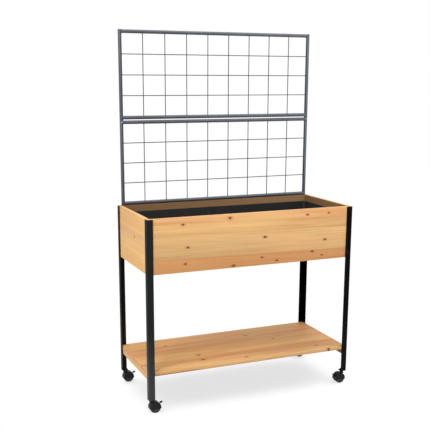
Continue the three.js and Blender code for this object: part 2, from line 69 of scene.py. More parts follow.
PHOTO_SIZE = 430
CAMERA_PLACE = (-1.46555, -3.22595, 1.39133)
CAMERA_YAW = 0.39825  # radians, from +Y towards +X
CAMERA_PITCH = 0.21885  # radians, downwards
CAMERA_ROLL = 0.00285
CAMERA_FOCAL_PX = 796.0  # in pixels of the photograph
CAMERA_AXIS_PX = (212.45, 256.39)  # where the lens axis meets the photograph
SENSOR_MM = 36.0


def add_camera():
    """The photograph's camera, whose lens axis lies off the picture's middle."""
    data = bpy.data.cameras.new("camera")
    data.sensor_width = SENSOR_MM
    data.lens = CAMERA_FOCAL_PX * SENSOR_MM / PHOTO_SIZE
    data.shift_x = (PHOTO_SIZE / 2 - CAMERA_AXIS_PX[0]) / PHOTO_SIZE
    data.shift_y = (CAMERA_AXIS_PX[1] - PHOTO_SIZE / 2) / PHOTO_SIZE
    camera = bpy.data.objects.new("camera", data)
    bpy.context.scene.collection.objects.link(camera)
    forward = Vector((
        math.sin(CAMERA_YAW) * math.cos(CAMERA_PITCH),
        math.cos(CAMERA_YAW) * math.cos(CAMERA_PITCH),
        -math.sin(CAMERA_PITCH),
    ))
    right = Vector((math.cos(CAMERA_YAW), -math.sin(CAMERA_YAW), 0))
    up = right.cross(forward)
    rolled_right = math.cos(CAMERA_ROLL) * right + math.sin(CAMERA_ROLL) * up
    rolled_up = rolled_right.cross(forward)
    turn = Matrix((rolled_right, rolled_up, -forward)).transposed().to_4x4()
    camera.matrix_world = Matrix.Translation(CAMERA_PLACE) @ turn
    bpy.context.scene.camera = camera


# name, place, what it points at, side of its square, power in watts
LAMPS = (
    ("key", (-3.5, -2.5, 3.2), (0, 0, 0.7), 2.4, 125),
    ("fill", (3.2, -2.4, 2.2), (0, 0, 0.7), 2.4, 8),
    ("top", (0.2, -0.4, 4.2), (0, 0, 0), 3.0, 90),
)


def add_lamp(name, place, target, side, power):
    data = bpy.data.lights.new(name, "AREA")
    data.shape = "SQUARE"
    data.size = side
    data.energy = power
    lamp = bpy.data.objects.new(name, data)
    bpy.context.scene.collection.objects.link(lamp)
    lamp.location = place
    lamp.rotation_euler = (Vector(target) - Vector(place)).to_track_quat("-Z", "Y").to_euler()


def end_tree(tree, lighting, shown, output):
    """Ends a tree with one shader for the light on the object, and one that is seen or mirrored."""
    path = tree.nodes.new("ShaderNodeLightPath")
    share = path.outputs["Is Camera Ray"]
    for kind in ("Is Glossy Ray", "Is Transmission Ray"):
        either = tree.nodes.new("ShaderNodeMath")
        either.operation = "MAXIMUM"
        tree.links.new(share, either.inputs[0])
        tree.links.new(path.outputs[kind], either.inputs[1])
        share = either.outputs[0]
    mix = tree.nodes.new("ShaderNodeMixShader")
    for source, socket in zip((share, lighting.outputs[0], shown.outputs[0]), mix.inputs):
        tree.links.new(source, socket)
    out = tree.nodes.new(output)
    tree.links.new(mix.outputs[0], out.inputs[0])


SKY_STRENGTH = 0.48  # what lights the object from all round


def add_world():
    """A plain white sky, which lights the object more weakly than it shows."""
    world = bpy.data.worlds.new("studio")
    world.use_nodes = True
    bpy.context.scene.world = world
    tree = world.node_tree
    tree.nodes.clear()
    lighting = tree.nodes.new("ShaderNodeBackground")
    lighting.inputs["Strength"].default_value = SKY_STRENGTH
    white = tree.nodes.new("ShaderNodeBackground")
    for background in (lighting, white):
        background.inputs["Color"].default_value = (1, 1, 1, 1)
    end_tree(tree, lighting, white, "ShaderNodeOutputWorld")


FLOOR_SIZE = 14.0
FLOOR_GREY = 0.8  # the share of the light that it throws back onto the object
SHADOW_REACH = 0.5  # how far off a thing may be to shade the floor
SHADOW_SAMPLES = 32
SHADOW_START = 0.30  # share of the sky that is hidden where the shade begins
SHADOW_FULL = 0.72  # and where it is deepest
SHADOW_LEVEL = 0.755  # the floor's brightness where the shade is deepest
OPEN_LEVEL = 1.01  # and where there is none
RANGE_SOCKETS = ("From Min", "From Max", "To Min", "To Max")


def add_floor():
    """A white floor that carries the object's soft shadow as painted shade, and that lights the object
    diffusely.
    """
    bpy.ops.mesh.primitive_plane_add(size=FLOOR_SIZE, location=(0, 0, 0))
    floor = bpy.context.object
    floor.name = "studio_floor"
    material = bpy.data.materials.new("studio_floor")
    material.use_nodes = True
    tree = material.node_tree
    tree.nodes.clear()
    plain = tree.nodes.new("ShaderNodeBsdfDiffuse")
    plain.inputs["Color"].default_value = (FLOOR_GREY, FLOOR_GREY, FLOOR_GREY, 1)
    # Painted shadow: the glow that is seen dims where nearby things hide the floor's sky.
    open_sky = tree.nodes.new("ShaderNodeAmbientOcclusion")
    open_sky.samples = SHADOW_SAMPLES
    open_sky.inputs["Distance"].default_value = SHADOW_REACH
    level = tree.nodes.new("ShaderNodeMapRange")
    level.interpolation_type = "SMOOTHSTEP"
    levels = (1 - SHADOW_FULL, 1 - SHADOW_START, SHADOW_LEVEL, OPEN_LEVEL)
    for key, number in zip(RANGE_SOCKETS, levels):
        level.inputs[key].default_value = number
    tree.links.new(open_sky.outputs["AO"], level.inputs["Value"])
    pale = tree.nodes.new("ShaderNodeEmission")
    tree.links.new(level.outputs["Result"], pale.inputs["Strength"])
    end_tree(tree, plain, pale, "ShaderNodeOutputMaterial")
    floor.data.materials.append(material)


# ---- shader building


class Shader:
    """A material's node tree, with short calls for the nodes that the materials below are made of."""

    def __init__(self, name):
        self.material = bpy.data.materials.new(name)
        self.material.use_nodes = True
        self.tree = self.material.node_tree
        self.tree.nodes.clear()
        self.bsdf = self.node("ShaderNodeBsdfPrincipled")
        out = self.node("ShaderNodeOutputMaterial")
        self.link(self.bsdf.outputs[0], out.inputs["Surface"])

    def node(self, kind, **settings):
        made = self.tree.nodes.new(kind)
        for key, value in settings.items():
            setattr(made, key, value)
        return made

    def link(self, source, target):
        self.tree.links.new(source, target)

    def feed(self, socket, value):
        """Links a socket to another node's output, or sets it to a plain value."""
        if hasattr(value, "is_linked"):
            self.link(value, socket)
        else:
            socket.default_value = value

    def place(self):
        """The point on the piece, in metres."""
        return self.node("ShaderNodeTexCoord").outputs["Object"]

    def normal(self):
        """The direction in which a face looks, as its three parts."""
        return self.split(self.node("ShaderNodeTexCoord").outputs["Normal"])

    def facing(self, axis):
        """How squarely a face looks along one axis, whichever way, from 0 to 1."""
        return self.math("ABSOLUTE", self.normal()[axis])

    def math(self, operation, *values):
        made = self.node("ShaderNodeMath", operation=operation)
        for socket, value in zip(made.inputs, values):
            self.feed(socket, value)
        return made.outputs[0]

    def plus(self, a, b):
        return self.math("ADD", a, b)

    def times(self, a, b):
        return self.math("MULTIPLY", a, b)

    def squares(self, a, b):
        """The sum of two squares."""
        return self.plus(self.math("POWER", a, 2.0), self.math("POWER", b, 2.0))

    def split(self, vector):
        made = self.node("ShaderNodeSeparateXYZ")
        self.link(vector, made.inputs[0])
        return list(made.outputs)

    def join(self, x, y, z):
        made = self.node("ShaderNodeCombineXYZ")
        for socket, value in zip(made.inputs, (x, y, z)):
            self.feed(socket, value)
        return made.outputs[0]

    def noise(self, vector, scale=1.0, detail=3.0, roughness=0.5, distortion=0.0):
        made = self.node("ShaderNodeTexNoise")
        self.link(vector, made.inputs["Vector"])
        made.inputs["Scale"].default_value = scale
        made.inputs["Detail"].default_value = detail
        made.inputs["Roughness"].default_value = roughness
        made.inputs["Distortion"].default_value = distortion
        return made.outputs["Fac"]

    def spread(self, value, low, high, to_low=0.0, to_high=1.0, smooth=False):
        """Maps low to high onto to_low to to_high, and holds what lies outside at the ends."""
        made = self.node("ShaderNodeMapRange")
        made.interpolation_type = "SMOOTHSTEP" if smooth else "LINEAR"
        self.link(value, made.inputs["Value"])
        for key, number in zip(RANGE_SOCKETS, (low, high, to_low, to_high)):
            made.inputs[key].default_value = number
        return made.outputs["Result"]

    def mix(self, share, a, b, blend="MIX"):
        made = self.node("ShaderNodeMix", data_type="RGBA", blend_type=blend)
        self.feed(made.inputs[0], share)
        self.feed(made.inputs[6], a)
        self.feed(made.inputs[7], b)
        return made.outputs[2]

    def scaled(self, colour, share):
        """A colour multiplied by a share that varies over the surface."""
        return self.mix(1.0, colour, self.join(share, share, share), "MULTIPLY")

    def bump(self, height, strength, distance):
        made = self.node("ShaderNodeBump")
        made.inputs["Strength"].default_value = strength
        made.inputs["Distance"].default_value = distance
        self.link(height, made.inputs["Height"])
        self.link(made.outputs[0], self.bsdf.inputs["Normal"])

    def finish(self, colour, roughness, specular=0.5, metallic=0.0):
        self.feed(self.bsdf.inputs["Base Color"], colour)
        self.feed(self.bsdf.inputs["Roughness"], roughness)
        self.bsdf.inputs["Specular IOR Level"].default_value = specular
        self.bsdf.inputs["Metallic"].default_value = metallic
        return self.material


def rgb(red, green, blue):
    """An sRGB colour in 0 to 255 as the linear colour that a shader takes."""
    def linear(value):
        value /= 255
        return value / 12.92 if value <= 0.04045 else ((value + 0.055) / 1.055) ** 2.4
    return (linear(red), linear(green), linear(blue), 1)


# ---- wood

CREAM = rgb(238, 197, 136)
HONEY = rgb(225, 174, 111)
SAND = rgb(221, 173, 117)
OAT = rgb(214, 164, 108)
STRAW = rgb(237, 186, 126)
ROSY = rgb(217, 153, 98)
AMBER = rgb(206, 146, 92)
RUSSET = rgb(226, 156, 94)
STREAK = rgb(166, 104, 54)
KNOT_RING = rgb(176, 98, 54)
KNOT = rgb(92, 42, 20)
# the painted shade along the inner side of the box's rim
RIM_SHADE = rgb(74, 46, 26)

# A layer of grain is (scale along the run, scale across it, detail, distortion). The first four also
# have the two levels of that noise between which they fade in.
BROAD_GRAIN = ((1.1, 26.0, 2.0, 0.0), (0.36, 0.66))
WARM_GRAIN = ((2.2, 17.0, 2.0, 0.4), (0.48, 0.72))
LATE_GRAIN = ((1.7, 120.0, 3.0, 0.25), (0.50, 0.72))
FINE_GRAIN = ((2.6, 300.0, 2.0, 0.2), (0.50, 0.72))
FIBRE_GRAIN = (9.0, 900.0, 2.0, 0.0)
BROAD_SHARE = 0.55  # how much of its colour each layer gives where it is strongest
WARM_SHARE = 0.42
LATE_SHARE = 0.30
FINE_SHARE = 0.14
FIBRE_LEVELS = (0.3, 0.7)
FIBRE_TONES = (0.93, 1.05)  # what the fibres multiply the colour by
GRAIN_ROUGHNESS = 0.55
GRAIN_DEPTH = 0.35  # how fast the grain changes into the wood, against along it
WANDER_SIDE = 3.0  # how much faster the grain's slow waves change across the run than along it
WANDER_SCALE = 1.6
WANDER_HEIGHT = 0.02

STRIP_SHIFT = 3.7  # how far a strip's grain is moved from its neighbour's
STRIP_SHIFT_STEP = 1.3  # and how much further for each strip more
TURN_START = -0.05  # where along the run a strip with a pair of tones begins to change
TURN_END = 0.20
FOOT_PALENESS = 0.34  # the broad layer's even level in a lowest strip that is kept even
SEAM_REACH = (0.0002, 0.0009)  # a glue line is strongest to the first and gone at the second
SEAM_SHARE = 0.35

# A knot's sizes are in its own radii.
KNOT_BEND_LENGTH = 3.6  # how far off along the run it still bends the grain
KNOT_BEND_HEIGHT = 2.2
KNOT_BEND = 0.72  # how strongly
KNOT_HEIGHT = 0.9
KNOT_CORE_REACH = (0.55, 1.1)
KNOT_RING_LENGTH = 1.7
KNOT_RING_REACH = (0.5, 1.9)
KNOT_CORE_SHARE = 0.9
KNOT_RING_SHARE = 0.7

EDGE_LINE_CORE = 0.4  # the share of an edge line's half width that is at full strength
EDGE_LINE_SHARE = 0.75
EDGE_LINE_FADE = 0.07  # the length along the run in which it fades
EDGE_LINE_REST = 0.25  # and the share of it that goes on
EDGE_LINE_FACES = (0.5, 0.8)  # how squarely a face looks across the strips to have it

PORE_SCALE = 1300.0
PORE_LEVELS = (0.35, 0.6)
PORE_TONES = (0.55, 1.0)
END_DULLNESS = 0.35
END_FACES = (0.7, 0.9)  # how squarely a face looks along the fibres to show their cut ends
END_SHARE = 0.8
SHADE_FACING = (0.6, 0.9)  # how squarely a face looks along an axis to get its painted shade

RIM_SHADE_WIDTH = 0.0062  # how much of a panel's top edge, from its inner side, carries painted shade
RIM_SHADE_FADE = 0.0012
RIM_SHADE_WANDER = 0.0016
RIM_SHADE_BLOT_SCALE = 90.0
RIM_SHADE_SHARE = 0.8

FIBRE_RISE = 0.6  # how high the fibres and the late wood's lines stand in the bump
LATE_RISE = 0.5
WOOD_ROUGHNESS = (0.62, 0.5)  # of the pale wood and of its dark lines
WOOD_SPECULAR = 0.28


def draw_knots(s, run, side, knots):
    """Grain lines that part round the knots, and the strengths of the knots' cores and rings."""
    bent, core, ring = side, 0.0, 0.0
    for place, height, radius in knots:
        run_from = s.math("SUBTRACT", run, place)
        side_from = s.math("SUBTRACT", side, height)
        near = s.squares(
            s.math("DIVIDE", run_from, radius * KNOT_BEND_LENGTH),
            s.math("DIVIDE", side_from, radius * KNOT_BEND_HEIGHT),
        )
        pull = s.math("POWER", math.e, s.times(near, -1.0))
        bent = s.plus(bent, s.times(s.times(pull, side_from), -KNOT_BEND))
        rise = s.math("DIVIDE", side_from, radius * KNOT_HEIGHT)
        from_core = s.math("SQRT", s.squares(s.math("DIVIDE", run_from, radius), rise))
        ring_run = s.math("DIVIDE", run_from, radius * KNOT_RING_LENGTH)
        from_ring = s.math("SQRT", s.squares(ring_run, rise))
        core = s.math("MAXIMUM", core, s.spread(from_core, *KNOT_CORE_REACH, 1.0, 0.0, smooth=True))
        ring = s.math("MAXIMUM", ring, s.spread(from_ring, *KNOT_RING_REACH, 1.0, 0.0, smooth=True))
    return bent, core, ring


def lay_strips(s, run, level, seams, tones, offset):
    """The tone of the glued strip at each point, and how far its grain is moved along the run."""
    turn = s.spread(run, TURN_START, TURN_END, smooth=True)
    tone, shift = tones[0], offset
    for number, seam in enumerate(seams):
        above = s.math("GREATER_THAN", level, seam)
        shift = s.plus(shift, s.times(above, STRIP_SHIFT + STRIP_SHIFT_STEP * number))
        upper = tones[number + 1]
        if isinstance(upper[0], tuple):
            upper = s.mix(turn, *upper)
        tone = s.mix(above, tone, upper)
    return tone, shift


def draw_edge_line(s, colour, run, depth, facing, settings):
    """A brown line on the faces across the strips."""
    line_depth, half_width, line_end = settings
    gap = s.math("ABSOLUTE", s.math("SUBTRACT", depth, line_depth))
    line = s.spread(gap, half_width * EDGE_LINE_CORE, half_width, EDGE_LINE_SHARE, 0.0, smooth=True)
    fading = s.spread(run, line_end - EDGE_LINE_FADE, line_end, 1.0, EDGE_LINE_REST, smooth=True)
    line = s.times(s.times(line, fading), s.spread(facing, *EDGE_LINE_FACES))
    return s.mix(line, colour, STREAK)


def draw_rim_shade(s, colour, depth, rim_shade_from):
    """Wood darkened with painted shade on its inner side."""
    blot = s.times(s.noise(s.place(), RIM_SHADE_BLOT_SCALE), RIM_SHADE_WANDER)
    depth_in = s.plus(s.math("ABSOLUTE", depth), s.math("SUBTRACT", blot, RIM_SHADE_WANDER / 2))
    rim_shaded = s.spread(depth_in, rim_shade_from - RIM_SHADE_FADE, rim_shade_from, 1.0, 0.0, smooth=True)
    return s.mix(s.times(rim_shaded, RIM_SHADE_SHARE), colour, RIM_SHADE)


def wood(
    name, along, across, seams=(), tones=(HONEY,), knots=(), shade=1.0, offset=0.0, contrast=1.0,
    tilt=0.0, rim_shade_from=None, painted_shade_faces=(), edge_line=None, even_foot=False,
):
    """Softwood whose fibres run along one axis, glued from strips that lie side by side across another.

    seams are the places of the glue lines on the across axis, and tones one colour for each strip, or a
    pair of colours for a strip above the first that changes along its run.
    A knot is (place along, place across, radius). The strips fall by tilt along the run. shade
    multiplies the whole colour, as painted light or shade over the whole piece. rim_shade_from is the
    distance from the box's middle, on the panel's thin axis, inside which the wood is darkened with
    painted shade. dim lists faces that carry painted shade by the way they face, as (axis, only those
    facing inwards, share kept). edge_line is a brown line on the faces across the strips, as (its
    place on the third axis, half width, where along the run it fades). even_foot keeps the lowest
    strip's tone nearly the same along its whole length.
    """
    s = Shader(name)
    axes = s.split(s.place())
    run, side, depth = axes[along], axes[across], axes[3 - along - across]

    bent, core, ring = draw_knots(s, run, side, knots)
    fall = s.times(run, tilt)
    bent = s.plus(bent, fall)
    level = s.plus(side, fall)
    tone, shift = lay_strips(s, run, level, seams, tones, offset)

    moved_run = s.plus(run, shift)
    moved_depth = s.times(depth, GRAIN_DEPTH)
    wander_place = s.join(moved_run, s.times(bent, WANDER_SIDE), moved_depth)
    wander = s.noise(wander_place, WANDER_SCALE, detail=2.0)
    waved = s.plus(bent, s.times(wander, WANDER_HEIGHT))

    def grain(run_scale, side_scale, detail, distortion):
        vector = s.join(
            s.times(moved_run, run_scale), s.times(waved, side_scale), s.times(moved_depth, side_scale)
        )
        return s.noise(vector, 1.0, detail, GRAIN_ROUGHNESS, distortion)

    def fading_grain(layer):
        pattern, levels = layer
        return s.spread(grain(*pattern), *levels, smooth=True)

    broad = fading_grain(BROAD_GRAIN)
    warm = fading_grain(WARM_GRAIN)
    late = fading_grain(LATE_GRAIN)
    fine_lines = fading_grain(FINE_GRAIN)
    fibre = grain(*FIBRE_GRAIN)

    if even_foot:
        higher = s.math("GREATER_THAN", level, seams[0])
        even = s.spread(higher, 0, 1, FOOT_PALENESS, 0.0)
        broad = s.math("MAXIMUM", s.times(broad, higher), even)
    colour = s.mix(s.times(broad, BROAD_SHARE), tone, CREAM)
    colour = s.mix(s.times(warm, WARM_SHARE * contrast), colour, ROSY)
    colour = s.mix(s.times(late, LATE_SHARE * contrast), colour, STREAK)
    colour = s.mix(s.times(fine_lines, FINE_SHARE * contrast), colour, STREAK)
    colour = s.scaled(colour, s.spread(fibre, *FIBRE_LEVELS, *FIBRE_TONES))
    if knots:
        colour = s.mix(s.times(ring, KNOT_RING_SHARE), colour, KNOT_RING)
        colour = s.mix(s.times(core, KNOT_CORE_SHARE), colour, KNOT)
    for seam in seams:
        gap = s.math("ABSOLUTE", s.math("SUBTRACT", level, seam))
        colour = s.mix(s.spread(gap, *SEAM_REACH, SEAM_SHARE, 0.0, smooth=True), colour, STREAK)
    if edge_line:
        colour = draw_edge_line(s, colour, run, depth, s.facing(across), edge_line)

    # The ends show the cut fibres: a duller tone with fine dark pores.
    pores = s.spread(s.noise(s.place(), PORE_SCALE, detail=2.0), *PORE_LEVELS, *PORE_TONES, smooth=True)
    cut = s.scaled(s.mix(END_DULLNESS, colour, AMBER), pores)
    colour = s.mix(s.spread(s.facing(along), *END_FACES, 0.0, END_SHARE), colour, cut)
    # Painted light or shade over the whole piece.
    if shade != 1.0:
        colour = s.mix(1.0, colour, (shade, shade, shade, 1), "MULTIPLY")
    # Painted shade along the inner side of the rim.
    if rim_shade_from:
        colour = draw_rim_shade(s, colour, depth, rim_shade_from)
    # Painted shade on the listed faces, by how squarely they look along an axis.
    normal = s.normal()
    for axis, inwards_only, kept in painted_shade_faces:
        if inwards_only:
            outwards = s.times(normal[axis], s.math("SIGN", axes[axis]))
            squarely = s.times(outwards, -1.0)
        else:
            squarely = s.math("ABSOLUTE", normal[axis])
        colour = s.scaled(colour, s.spread(squarely, *SHADE_FACING, 1.0, kept))
    rise = s.plus(s.times(fibre, FIBRE_RISE), s.times(late, LATE_RISE))
    s.bump(rise, strength=0.35, distance=0.0004)
    return s.finish(colour, s.spread(late, 0, 1, *WOOD_ROUGHNESS), WOOD_SPECULAR)


# ---- metal and plastic

COAT_WEAR = 0.35  # how much of the worn tone the coat takes in its clouds
PLASTIC_DUST = 0.4  # and how much of the dusty one plastic does
FLOOR_GLOW_TOP = 0.42  # the height above the floor at which a leg's painted light from the floor begins
FLOOR_GLOW_FOOT = 0.08  # and that below which it is full
FLOOR_GLOW_FRONT = 0.5  # the share of it on the faces that don't look to a side
SIDE_FACES = (0.6, 0.95)  # how squarely a face looks along X to be a side
SIDE_SHADE = 0.62  # painted shade: how deep the flanges' sides are, against their fronts


def powder_coat(name, colour, worn, roughness=0.5, specular=0.03, floor_glow=None):
    """Satin powder-coated steel: a fine orange-peel surface with faint lighter dust and rub marks, and
    painted shade on its sides.

    floor_glow is the tone of the painted light that the pale floor throws onto a leg's outer faces near
    its foot.
    """
    s = Shader(name)
    place = s.place()
    soft = s.noise(place, scale=9.0, detail=4.0, roughness=0.6)
    cloud = s.spread(soft, low=0.35, high=0.75, smooth=True)
    tone = s.mix(s.times(cloud, COAT_WEAR), colour, worn)
    # Painted shade on the faces that look to a side.
    tone = s.scaled(tone, s.spread(s.facing(X), *SIDE_FACES, 1.0, SIDE_SHADE))
    # Painted light: the pale floor's glow on a leg near its foot, fullest on its sides.
    if floor_glow:
        height = s.split(place)[Z]
        low = s.spread(height, FLOOR_GLOW_TOP, FLOOR_GLOW_FOOT, smooth=True)
        sideways = s.spread(s.facing(X), *SIDE_FACES, FLOOR_GLOW_FRONT, 1.0)
        tone = s.mix(s.times(low, sideways), tone, floor_glow)
    s.bump(s.noise(place, scale=900.0, detail=2.0), strength=0.1, distance=0.0002)
    roughness = s.spread(cloud, 0, 1, to_low=roughness, to_high=roughness + 0.1)
    return s.finish(tone, roughness, specular)


SLATE_CHANGE = 0.45  # painted light: its tone grows paler between this distance left and right of the middle
SLATE_RIGHT_LAG = 0.4  # how much further round the right post's painted shade begins
SLATE_INNER = (-0.05, 0.45)  # how far a face looks inwards where its painted shade begins and is full
SLATE_UNDER = (0.4, 0.95)  # the same for a face that looks down
SLATE_UNDER_SHARE = 0.6
SLATE_CLOUD = 0.25  # the most that the clouds deepen it


def slate_coat(name, left_tone, right_tone, shade_and_cloud_tone):
    """The trellis's grey coat: painted light makes it paler to the right, and painted shade deepens the
    faces that look into it or down.
    """
    s = Shader(name)
    place = s.place()
    across = s.split(place)[X]
    painted_light_right = s.spread(across, -SLATE_CHANGE, SLATE_CHANGE)
    colour = s.mix(painted_light_right, left_tone, right_tone)
    # Painted shade on the faces that look into the trellis or down.
    normal = s.normal()
    inwards = s.times(s.times(normal[X], -1.0), s.math("SIGN", across))
    inwards = s.math("SUBTRACT", inwards, s.times(painted_light_right, SLATE_RIGHT_LAG))
    inner = s.spread(inwards, *SLATE_INNER, smooth=True)
    under = s.spread(normal[Z], *(-level for level in SLATE_UNDER), smooth=True)
    soft = s.noise(place, scale=7.0, detail=3.0, roughness=0.6)
    cloud = s.spread(soft, low=0.3, high=0.7, to_high=SLATE_CLOUD, smooth=True)
    deeper = s.math("MAXIMUM", inner, s.times(under, SLATE_UNDER_SHARE))
    tone = s.mix(s.math("MAXIMUM", deeper, cloud), colour, shade_and_cloud_tone)
    s.bump(s.noise(place, scale=700.0, detail=2.0), strength=0.06, distance=0.0002)
    roughness = s.spread(cloud, 0, SLATE_CLOUD, to_low=0.32, to_high=0.42)
    return s.finish(tone, roughness, specular=0.34)


def plating(name, pale, dull):
    """Zinc plating: clear metal with duller clouds and a very fine grain."""
    s = Shader(name)
    place = s.place()
    cloud = s.spread(s.noise(place, scale=160.0), low=0.35, high=0.7)
    s.bump(s.noise(place, scale=1400.0, detail=2.0), strength=0.1, distance=0.0001)
    roughness = s.spread(cloud, 0, 1, to_low=0.28, to_high=0.42)
    return s.finish(s.mix(cloud, pale, dull), roughness, metallic=1.0)


def moulded_plastic(name, colour, dusty, roughness=0.5, grain=1600.0, specular=0.3):
    """Moulded plastic with a fine matte grain and clouds of dust."""
    s = Shader(name)
    place = s.place()
    soft = s.noise(place, scale=26.0, detail=4.0, roughness=0.6)
    cloud = s.spread(soft, low=0.38, high=0.72, smooth=True)
    tone = s.mix(s.times(cloud, PLASTIC_DUST), colour, dusty)
    s.bump(s.noise(place, scale=grain, detail=2.0), strength=0.15, distance=0.00015)
    roughness = s.spread(cloud, 0, 1, to_low=roughness, to_high=roughness + 0.12)
    return s.finish(tone, roughness, specular)


# ---- mesh building

# radius of the rounded edges of the CAD nodes that are kept, in millimetres
EDGE_RADIUS = {
    "panel": 1.1, "shelf_board": 1.3, "shelf_cleat": 1.0, "floor_board": 0.9, "floor_cleat": 0.8,
    "leg": 0.5, "axle": 0.3, "lever": 0.5, "tube": 0.6, "spigot": 0.4, "peg": 0.4, "liner": 0.5,
}
EDGE_SEGMENTS = 3
EDGE_ANGLE = 32.0  # degrees; a flatter edge stays as it is
WELD_DISTANCE = 0.02 * MM


def dress(node, material, kind):
    """Gives a CAD node its material, merges its split corners and rounds its sharp edges."""
    piece = frame["nodes"][node]
    piece.data.materials.clear()
    piece.data.materials.append(material)
    weld = piece.modifiers.new("weld", "WELD")
    weld.merge_threshold = WELD_DISTANCE
    bevel = piece.modifiers.new("bevel", "BEVEL")
    bevel.width = EDGE_RADIUS[kind] * MM
    bevel.segments = EDGE_SEGMENTS
    bevel.limit_method = "ANGLE"
    bevel.angle_limit = math.radians(EDGE_ANGLE)
    bevel.harden_normals = True
    for polygon in piece.data.polygons:
        polygon.use_smooth = True


def new_piece(name, bm, material, body="root", angle=40.0):
    """A piece of the visual model, shaded smooth up to an angle in degrees."""
    mesh = bpy.data.meshes.new(name)
    bmesh.ops.recalc_face_normals(bm, faces=bm.faces)
    bm.to_mesh(mesh)
    bm.free()
    piece = bpy.data.objects.new(name, mesh)
    bpy.context.scene.collection.objects.link(piece)
    piece.data.materials.append(material)
    for polygon in mesh.polygons:
        polygon.use_smooth = True
    mesh.set_sharp_from_angle(angle=math.radians(angle))
    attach(piece, body)
    return piece


def add_ring(bm, centre, radius, across, other, sides):
    """A circle of points in the plane of two directions."""
    ring = []
    for step in range(sides):
        angle = 2 * math.pi * step / sides
        out = math.cos(angle) * across + math.sin(angle) * other
        ring.append(bm.verts.new(centre + radius * out))
    return ring


def join_rings(bm, rings, closed=False):
    """Faces between each ring of points and the next, and from the last to the first if closed."""
    pairs = list(zip(rings, rings[1:]))
    if closed:
        pairs.append((rings[-1], rings[0]))
    for low, high in pairs:
        count = len(low)
        for step in range(count):
            following = (step + 1) % count
            bm.faces.new((low[step], low[following], high[following], high[step]))


def cap_ends(bm, rings):
    """A face on the first ring and one on the last."""
    bm.faces.new(list(reversed(rings[0])))
    bm.faces.new(rings[-1])


DOME_LENGTH = 0.35  # of a bar's domed end, in its radius
DOME_RADIUS = 0.6  # of the flat that is left at its tip


def add_tube(bm, start, end, radius, sides, dome=False):
    """A round bar between two points, with flat or softly domed ends."""
    start, end = Vector(start), Vector(end)
    axis = (end - start).normalized()
    across = axis.orthogonal().normalized()
    other = axis.cross(across)
    inset = radius * DOME_LENGTH if dome else 0.0
    tip = radius * DOME_RADIUS if dome else radius
    stations = ((start, tip), (start + axis * inset, radius), (end - axis * inset, radius), (end, tip))
    rings = [add_ring(bm, centre, size, across, other, sides) for centre, size in stations]
    join_rings(bm, rings)
    cap_ends(bm, rings)


BEAD_SIDES = 8


def add_bead(bm, points, radius):
    """A thin round bead along a closed line of points."""
    count = len(points)
    centre = sum((Vector(point) for point in points), Vector()) / count
    rings = []
    for number in range(count):
        before, here, after = (Vector(points[(number + step) % count]) for step in (-1, 0, 1))
        axis = (after - before).normalized()
        outward = here - centre
        across = (outward - outward.dot(axis) * axis).normalized()
        rings.append(add_ring(bm, here, radius, across, axis.cross(across), BEAD_SIDES))
    join_rings(bm, rings, closed=True)


def in_metres(profile):
    return [(radius * MM, along * MM) for radius, along in profile]


ON_AXIS = 1e-7  # a smaller radius than this is a point on the axis


def add_lathe(bm, profile, centre, axis, segments):
    """Turns (radius, distance along the axis) points about an axis through centre.

    The profile is a closed loop, or an open line whose two ends lie on the axis.
    """
    centre, axis = Vector(centre), Vector(axis).normalized()
    across = axis.orthogonal().normalized()
    other = axis.cross(across)
    on_axis = [radius <= ON_AXIS for radius, _ in profile]
    poles = [bm.verts.new(centre + axis * along) if pole else None
             for (_, along), pole in zip(profile, on_axis)]
    columns = []
    for step in range(segments):
        angle = 2 * math.pi * step / segments
        out = math.cos(angle) * across + math.sin(angle) * other
        columns.append([
            pole or bm.verts.new(centre + out * radius + axis * along)
            for (radius, along), pole in zip(profile, poles)
        ])
    for step in range(segments):
        here, there = columns[step], columns[(step + 1) % segments]
        for i in range(len(profile)):
            j = (i + 1) % len(profile)
            if on_axis[i] and on_axis[j]:
                continue
            corners = []
            for corner in (here[i], here[j], there[j], there[i]):
                if corner not in corners:
                    corners.append(corner)
            bm.faces.new(corners)


def add_prism(bm, outline, base, along, across_u, across_v):
    """A solid from a flat outline of (u, v) points, pushed along a vector."""
    base, along = Vector(base), Vector(along)
    low = [bm.verts.new(base + u * Vector(across_u) + v * Vector(across_v)) for u, v in outline]
    high = [bm.verts.new(vertex.co + along) for vertex in low]
    join_rings(bm, (low, high))
    cap_ends(bm, (low, high))


# ---- wooden pieces

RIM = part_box("front_panel")[1].z
PANEL_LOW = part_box("front_panel")[0].z
PANEL_HEIGHT = RIM - PANEL_LOW


def panel_height(share):
    """A height on the box's panels, as a share up from their lower edge."""
    return PANEL_LOW + share * PANEL_HEIGHT


# (distance along the panel, share of its height, radius in millimetres) of the panels' knots
FRONT_KNOTS = (
    (-0.327, 0.871, 4.6), (-0.115, 0.932, 5.4), (0.051, 0.530, 5.2), (-0.306, 0.452, 4.8),
    (0.349, 0.391, 4.8), (0.258, 0.894, 4.6), (0.365, 0.902, 3.8), (-0.317, 0.153, 4.4),
    (-0.098, 0.040, 5.0), (0.038, 0.148, 4.0), (0.110, 0.064, 4.0), (0.286, 0.177, 4.8),
    (0.336, 0.091, 3.6),
)
LEFT_KNOTS = ((-0.031, 0.561, 4.0),)
RIGHT_KNOTS = ((0.050, 0.680, 4.8), (-0.120, 0.330, 4.0), (0.145, 0.120, 3.6))
REAR_KNOTS = (
    (-0.290, 0.610, 5.4), (-0.050, 0.860, 4.4), (0.180, 0.420, 5.0), (0.360, 0.710, 4.2),
    (-0.400, 0.150, 4.4), (0.060, 0.110, 4.0), (0.300, 0.130, 3.8),
)
KNOT_SPREAD = 1.15  # the drawn knot against the dark spot's radius
PANEL_SEAMS = (0.230, 0.655, 0.86)
LEFT_SEAMS = (0.49, 0.67)
FRONT_TILT = 0.0165

